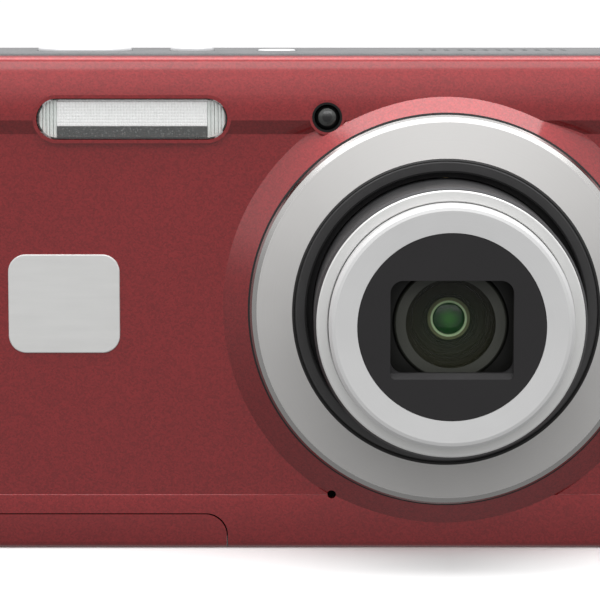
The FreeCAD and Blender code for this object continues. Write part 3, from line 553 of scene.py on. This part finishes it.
FINISHES = {
    "red_paint": red_paint(),
    "top_grey": top_grey(),
    "rear_dark": moulded("rear_shell_dark", (0.026, 0.027, 0.029), (0.040, 0.041, 0.044),
                         rough=(0.45, 0.60), grain=0.30, depth=0.014),
    "silver": turned_silver("silver_turned", (0.55, 0.54, 0.53), rough=(0.34, 0.44), line_size=0.16,
                            line_depth=0.0016, metallic=0.22, bevels=(17.42, 21.42)),
    "barrel_dark": charcoal("barrel_charcoal", (0.050, 0.050, 0.052), (0.085, 0.085, 0.088), (0.30, 0.42)),
    "black_plastic": moulded("black_plastic", (0.014, 0.013, 0.014), (0.023, 0.022, 0.023),
                             rough=(0.48, 0.62), grain=0.2, depth=0.008, specular=0.28),
    "lens_glass": lens_coating(),
    "clear_plastic": clear_cover(),
    "bright_metal": bare_metal("reflector_bright", (0.80, 0.80, 0.80), (0.92, 0.92, 0.92),
                               rough=(0.08, 0.18), stretch=(1, 1, 6)),
    "steel": bare_metal("steel", (0.46, 0.46, 0.47), (0.62, 0.62, 0.63)),
    "board_green": circuit_board(),
    "battery_wrap": battery_sleeve(),
    "card_blue": moulded("card_blue", (0.014, 0.022, 0.070), (0.022, 0.034, 0.100),
                         rough=(0.38, 0.5), grain=0.2),
    "display_glass": display_glass(),
    "button_silver": bare_metal("button_silver", (0.70, 0.70, 0.71), (0.80, 0.80, 0.81),
                                rough=(0.30, 0.42), stretch=(14, 1, 1), metallic=0.35),
    "button_dark": moulded("button_dark", (0.062, 0.062, 0.065), (0.090, 0.090, 0.094),
                           rough=(0.28, 0.38), grain=0.25, depth=0.005, coat=0.3, coat_roughness=0.15),
    "brass_part": bare_metal("brass", (0.55, 0.40, 0.17), (0.72, 0.54, 0.26)),
    "motor_can": bare_metal("motor_can", (0.42, 0.42, 0.43), (0.58, 0.58, 0.60)),
    "sleeve_dark": moulded("capacitor_sleeve", (0.010, 0.012, 0.035), (0.018, 0.022, 0.055),
                           rough=(0.2, 0.32), grain=0.4, depth=0.006),
}

# Nodes whose finish differs from the rest of their slot.
NODE_FINISHES = {
    "badge": brushed_badge(),
    "lens_trim": charcoal("trim_charcoal", (0.068, 0.067, 0.068), (0.100, 0.098, 0.099), (0.34, 0.46)),
    "inner_barrel": turned_silver("barrel_face_silver", (0.71, 0.71, 0.71), rough=(0.42, 0.50),
                                  line_size=0.14, line_depth=0.0012),
    "barrel_cap": turned_silver("cap_silver", (0.76, 0.76, 0.75), rough=(0.34, 0.42),
                                line_size=0.12, line_depth=0.001),
    "iris_plate": iris_black(),
    "lens_holder": lens_bezel(),
    "focus_lamp": lamp_dark(),
    "focus_lamp_bezel": moulded("lamp_bezel_black", (0.005, 0.005, 0.005), (0.010, 0.010, 0.010),
                                rough=(0.5, 0.6), grain=0.2, depth=0.006, specular=0.2),
    # Near black: painted shade for the hole that the microphone sits behind.
    "microphone": moulded("microphone_black", (0.004, 0.004, 0.004), (0.008, 0.008, 0.008),
                          rough=(0.6, 0.7), grain=0.2, depth=0.01, specular=0.1),
}


def finish_nodes():
    """Gives each CAD node its own finish, or else its slot's."""
    for name, node in nodes.items():
        given = node.data.materials[0].name.split(".")[0]
        node.data.materials[0] = NODE_FINISHES.get(name) or FINISHES[given]
        node.data.shade_smooth()


# ---------------------------------------------------------------- geometry for the detail pieces

def make_piece(name, shape, material, body, smooth=False):
    """Turns a bmesh into an object in the scene, with its finish and body."""
    bmesh.ops.recalc_face_normals(shape, faces=shape.faces)
    mesh = bpy.data.meshes.new(name)
    shape.to_mesh(mesh)
    shape.free()
    mesh.materials.append(material)
    if smooth:
        mesh.shade_smooth()
        mesh.set_sharp_from_angle(angle=SHARP)
    obj = bpy.data.objects.new(name, mesh)
    bpy.context.scene.collection.objects.link(obj)
    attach(obj, body)
    return obj


def add_loft(shape, rings, closed=True):
    """Skin between rings of equal length; a closed loft joins the last ring to the first."""
    rows = [[shape.verts.new(point) for point in ring] for ring in rings]
    pairs = list(zip(rows, rows[1:]))
    if closed:
        pairs.append((rows[-1], rows[0]))
    for first, second in pairs:
        for i in range(len(first)):
            j = (i + 1) % len(first)
            shape.faces.new((first[i], first[j], second[j], second[i]))
    if not closed:
        shape.faces.new(rows[0])
        shape.faces.new(rows[-1])


def add_prism(shape, outline, y0, y1):
    """Solid between two planes of constant Y, with an outline of (x, z) points."""
    add_loft(shape, [[(x, y, z) for x, z in outline] for y in (y0, y1)], closed=False)


def rectangle(x0, x1, z0, z1):
    return [(x0, z0), (x1, z0), (x1, z1), (x0, z1)]


def lathe(profile, steps=96):
    """Closed ring about the lens axis from (radius, distance forwards) in millimetres."""
    shape = bmesh.new()
    rings = []
    for k in range(steps):
        angle = 2 * math.pi * k / steps
        ring = []
        for radius, forward in profile:
            x = LENS.x + radius * MM * math.cos(angle)
            z = LENS.z + radius * MM * math.sin(angle)
            ring.append((x, -forward * MM, z))
        rings.append(ring)
    add_loft(shape, rings)
    return shape


# ---------------------------------------------------------------- flash

FLASH_LOW, FLASH_HIGH = (Vector(corner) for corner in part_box("flash_window"))
FLASH = (FLASH_LOW + FLASH_HIGH) / 2
FLASH_WIDTH = FLASH_HIGH.x - FLASH_LOW.x
FLASH_HEIGHT = FLASH_HIGH.z - FLASH_LOW.z
COVER_THICK = 0.45 * MM
INSERT_FRONT = FLASH_LOW.y + COVER_THICK + 0.05 * MM
INSERT_BACK = FLASH_HIGH.y
INSERT_HALF = FLASH_WIDTH / 2 - 2.25 * MM
PRISM_FOOT = FLASH.z - 0.82 * MM


def flash_outline(inset):
    """The window's round-ended outline drawn in by inset, as (x, z) points."""
    steps = 20
    width = FLASH_WIDTH - 2 * inset
    r = (FLASH_HEIGHT - 2 * inset) / 2
    points = []
    for side, start in ((1, -90), (-1, 90)):
        for k in range(steps + 1):
            angle = math.radians(start + 180.0 * k / steps)
            x = side * (width / 2 - r) + r * math.cos(angle)
            points.append((FLASH.x + x, FLASH.z + r * math.sin(angle)))
    return points


def flash_cover():
    """Clear window with a small bevel round its front, in place of the plain CAD one."""
    bevel = 0.16 * MM
    rings = []
    for inset, depth in ((0.0, COVER_THICK), (0.0, bevel), (bevel * 0.3, bevel * 0.3), (bevel, 0.0)):
        rings.append([(x, FLASH_LOW.y + depth, z) for x, z in flash_outline(inset)])
    shape = bmesh.new()
    add_loft(shape, rings, closed=False)
    cover = make_piece("flash_cover", shape, FINISHES["clear_plastic"], "camera")
    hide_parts("flash_window")


def flash_prisms():
    """Milky sheet of small pyramids that fills most of the window."""
    white = prism_white("flash_prism_white", (0.93, 0.94, 0.93), (0.98, 0.98, 0.98))
    top = FLASH.z + FLASH_HEIGHT / 2 - 0.32 * MM
    shape = prism_sheet(FLASH.x - INSERT_HALF, FLASH.x + INSERT_HALF, PRISM_FOOT, top)
    make_piece("flash_prisms", shape, white, "camera")


def prism_sheet(x0, x1, z0, z1):
    """Plate whose front is a grid of small pyramids, its upright grooves the deeper ones."""
    pitch = 0.34 * MM
    depth = 0.09 * MM
    upright_share, level_share = 0.7, 0.3
    columns = 2 * round((x1 - x0) / pitch)
    rows = 2 * round((z1 - z0) / pitch)
    shape = bmesh.new()
    grid = []
    for j in range(rows + 1):
        line = []
        for i in range(columns + 1):
            ridge = (i % 2) * upright_share + (j % 2) * level_share
            y = INSERT_FRONT + depth * (1 - ridge)
            line.append(shape.verts.new((x0 + (x1 - x0) * i / columns, y, z0 + (z1 - z0) * j / rows)))
        grid.append(line)
    for j in range(rows):
        for i in range(columns):
            shape.faces.new((grid[j][i], grid[j][i + 1], grid[j + 1][i + 1], grid[j + 1][i]))
    edge = grid[0] + [line[-1] for line in grid[1:]]
    edge += grid[-1][-2::-1] + [line[0] for line in grid[-2:0:-1]]
    rear = [shape.verts.new((v.co.x, INSERT_BACK, v.co.z)) for v in edge]
    for i in range(len(edge)):
        j = (i + 1) % len(edge)
        shape.faces.new((edge[i], rear[i], rear[j], edge[j]))
    shape.faces.new(rear[::-1])
    return shape


def flash_band():
    """Dark speckled strip along the bottom of the window."""
    bottom = FLASH.z - FLASH_HEIGHT / 2 + 0.22 * MM
    top = PRISM_FOOT - 0.04 * MM
    shape = bmesh.new()
    outline = rectangle(FLASH.x - INSERT_HALF, FLASH.x + INSERT_HALF, bottom, top)
    add_prism(shape, outline, INSERT_FRONT + 0.1 * MM, INSERT_BACK)
    make_piece("flash_lower_band", shape, dotted_band(), "camera")


def flash_ribs():
    """Upright ribs that fill the window's two round ends."""
    shape = bmesh.new()
    for side in (-1, 1):
        add_end_ribs(shape, side)
    pale = prism_white("flash_rib_clear", (0.74, 0.79, 0.76), (0.88, 0.91, 0.89))
    make_piece("flash_end_ribs", shape, pale, "camera")


def add_end_ribs(shape, side):
    """Five ridged ribs at one end (side is -1 or 1), each as tall as the round end lets it be."""
    count = 5
    rib_share = 0.86
    margin = 0.15 * MM
    ridge = 0.16 * MM
    least = 0.25 * MM
    start = INSERT_HALF + 0.04 * MM
    r = (FLASH_HEIGHT - 2 * margin) / 2
    pitch = (FLASH_WIDTH / 2 - margin - start) / count
    for k in range(count):
        x0 = start + k * pitch
        x1 = x0 + pitch * rib_share
        tall = []
        for x in (x0, x1):
            over = max(0.0, x - (FLASH_WIDTH / 2 - r - margin))
            tall.append(math.sqrt(max(r * r - over * over, least ** 2)))
        foot = INSERT_FRONT + ridge
        crest = (x0 + x1) / 2
        outline = [(x0, foot), (crest, INSERT_FRONT), (x1, foot), (x1, INSERT_BACK), (x0, INSERT_BACK)]
        heights = [tall[0], (tall[0] + tall[1]) / 2, tall[1], tall[1], tall[0]]
        rings = []
        for sign in (-1, 1):
            ring = [(FLASH.x + side * x, y, FLASH.z + sign * h) for (x, y), h in zip(outline, heights)]
            rings.append(ring)
        add_loft(shape, rings, closed=False)


# ---------------------------------------------------------------- lens

def lens_baffle():
    """Steps that narrow from the front glass back to the aperture, in millimetres."""
    back, front = 18.45, 20.55
    outer, inner = 6.6, 2.5
    wall = 0.4
    rise = 0.28
    steps = 7
    profile = [(outer, back), (outer + wall, back), (outer + wall, front)]
    for k in range(steps):
        share = k / (steps - 1)
        radius = outer - (outer - inner) * share
        level = front - (front - back - 0.1) * share
        profile.append((radius, level))
        profile.append((radius, level - rise))
    profile.append((inner, back))
    make_piece("lens_baffle", lathe(profile), baffle_olive(), "inner_barrel")


def pupil_element():
    """Small domed glass in the aperture that carries a painted green reflection, in millimetres."""
    axis_gap = 0.02
    rim = 1.78
    back, foot = 17.7, 17.95
    dome = 0.30
    steps = 8
    crown = []
    for k in range(steps + 1):
        radius = axis_gap + (rim - axis_gap) * k / steps
        crown.append((radius, foot + dome * (1 - (radius / 1.8) ** 2)))
    crown += [(rim, back), (axis_gap, back)]
    make_piece("pupil_element", lathe(crown, 64), pupil_green(), "inner_barrel", smooth=True)


def ring_gap_shade():
    """Thin black ring in the gap between the bright ring and the red collar: painted shade for the gap."""
    profile = [(22.2, 10.95), (22.42, 10.95), (22.42, 11.05), (22.36, 11.10), (22.2, 11.12)]
    black = FINISHES["black_plastic"]
    make_piece("ring_gap_shade", lathe(profile, 240), black, "camera", smooth=True)


# ---------------------------------------------------------------- base and ends

def tripod_thread():
    """Coarse thread on the wall of the tripod socket, as a helical ridge that fades at its ends."""
    bore = 3.175 * MM
    pitch = 1.27 * MM
    depth = 0.62 * MM
    foot_share, crest_share = 0.42, 0.06
    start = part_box("tripod_insert")[0][2] + 0.60 * MM
    turns = 3.4
    steps = 40
    fade = 10
    shape = bmesh.new()
    rings = []
    for k in range(int(turns * steps) + 1):
        angle = 2 * math.pi * k / steps
        level = start + pitch * k / steps
        ease = min(1.0, k / fade, (turns * steps - k) / fade + 0.05)
        crest = bore - depth * ease
        ring = []
        section = ((bore, -foot_share), (crest, -crest_share), (crest, crest_share), (bore, foot_share))
        for radius, rise in section:
            ring.append((radius * math.cos(angle), radius * math.sin(angle), level + rise * pitch))
        rings.append(ring)
    add_loft(shape, rings, closed=False)
    make_piece("tripod_thread", shape, FINISHES["steel"], "camera")


def door_gap_shade():
    """Black strip in the upright gap beside the battery door, set back from its face: painted shade for the
    gap.
    """
    door_low, door_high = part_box("battery_door")
    edge = door_high[0]
    front = door_low[1] + 0.75 * MM
    thick = 0.8 * MM
    foot, top = door_low[2] + 0.05 * MM, door_high[2] - 0.3 * MM
    outline = rectangle(edge + 0.02 * MM, edge + 0.12 * MM, foot, top)
    shape = bmesh.new()
    add_prism(shape, outline, front, front + thick)
    make_piece("door_gap_shade", shape, FINISHES["black_plastic"], "camera")


def usb_contacts():
    """Gold strips on the tongue of the data socket."""
    low, high = (Vector(corner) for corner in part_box("usb_socket"))
    centre = (low + high) / 2
    count = 5
    pitch = 0.8 * MM
    half = 0.2 * MM
    thick = 0.05 * MM
    y0 = centre.y + 0.25 * MM
    y1 = y0 + thick
    shape = bmesh.new()
    for k in range(count):
        z = centre.z + (k - count // 2) * pitch
        section = [(y0, z - half), (y0, z + half), (y1, z + half), (y1, z - half)]
        rings = [[(x, y, level) for y, level in section] for x in (low.x + 1.2 * MM, high.x - 0.8 * MM)]
        add_loft(shape, rings, closed=False)
    make_piece("usb_contacts", shape, FINISHES["brass_part"], "camera")


# ---------------------------------------------------------------- symbols on the back

def add_mark(shape, points):
    """A flat printed shape that stands 0.02 mm off the rear shell."""
    add_prism(shape, points, REAR_FACE - 0.01 * MM, REAR_FACE + 0.02 * MM)


def add_block(shape, x, z, w, h):
    add_mark(shape, rectangle(x - w / 2, x + w / 2, z - h / 2, z + h / 2))


def add_polygon(shape, x, z, r, count, turn=0.0):
    """Regular polygon about (x, z), its first corner at turn degrees."""
    angles = [math.radians(turn + 360.0 * k / count) for k in range(count)]
    add_mark(shape, [(x + r * math.cos(angle), z + r * math.sin(angle)) for angle in angles])


def add_frame(shape, x, z, w, h):
    """Outline of a rectangle."""
    line = 0.2 * MM
    add_block(shape, x, z + (h - line) / 2, w, line)
    add_block(shape, x, z - (h - line) / 2, w, line)
    add_block(shape, x - (w - line) / 2, z, line, h - 2 * line)
    add_block(shape, x + (w - line) / 2, z, line, h - 2 * line)


def key_symbols(shape):
    """Arrow and dot above the upper two keys, bars and a frame below the lower two."""
    above = 3.6 * MM
    below = 3.8 * MM
    spot = middle("playback_button")
    add_polygon(shape, spot.x, spot.z + above, 0.75 * MM, 3, turn=180)
    spot = middle("video_button")
    add_polygon(shape, spot.x, spot.z + above, 0.6 * MM, 24)
    spot = middle("menu_button")
    for k in (-1, 0, 1):
        add_block(shape, spot.x, spot.z - below + k * 0.5 * MM, 1.7 * MM, 0.22 * MM)
    spot = middle("display_button")
    add_frame(shape, spot.x, spot.z - below, 1.9 * MM, 1.3 * MM)


def ring_symbols(shape):
    """A small arrow at each side of the four-way ring."""
    spot = middle("nav_ring")
    reach = (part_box("nav_ring")[1][0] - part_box("nav_ring")[0][0]) / 2 + 0.9 * MM
    for turn in (0, 90, 180, 270):
        angle = math.radians(turn)
        x = spot.x + reach * math.cos(angle)
        z = spot.z + reach * math.sin(angle)
        add_polygon(shape, x, z, 0.5 * MM, 3, turn=turn)


def rocker_symbols(shape):
    """Under the zoom rocker: a frame at one end and a grid of small squares at the other."""
    spot = middle("zoom_rocker")
    aside = 4.2 * MM
    below = 3.6 * MM
    tile = 0.3 * MM
    add_frame(shape, spot.x - aside, spot.z - below, 1.5 * MM, 1.1 * MM)
    for i in (-1, 0, 1):
        for k in (-1, 1):
            add_block(shape, spot.x + aside + i * 0.5 * MM, spot.z - below + k * 0.28 * MM, tile, tile)


def rear_icons():
    """All the symbols as one printed piece."""
    shape = bmesh.new()
    key_symbols(shape)
    ring_symbols(shape)
    rocker_symbols(shape)
    make_piece("rear_icons", shape, icon_white(), "camera")


# ---------------------------------------------------------------- the scene

make_camera()
make_world()
make_lights()
make_floor()
bpy.context.scene.view_settings.view_transform = "Standard"

finish_nodes()
flash_cover()
flash_prisms()
flash_band()
flash_ribs()
lens_baffle()
pupil_element()
ring_gap_shade()
tripod_thread()
rear_icons()
door_gap_shade()
usb_contacts()
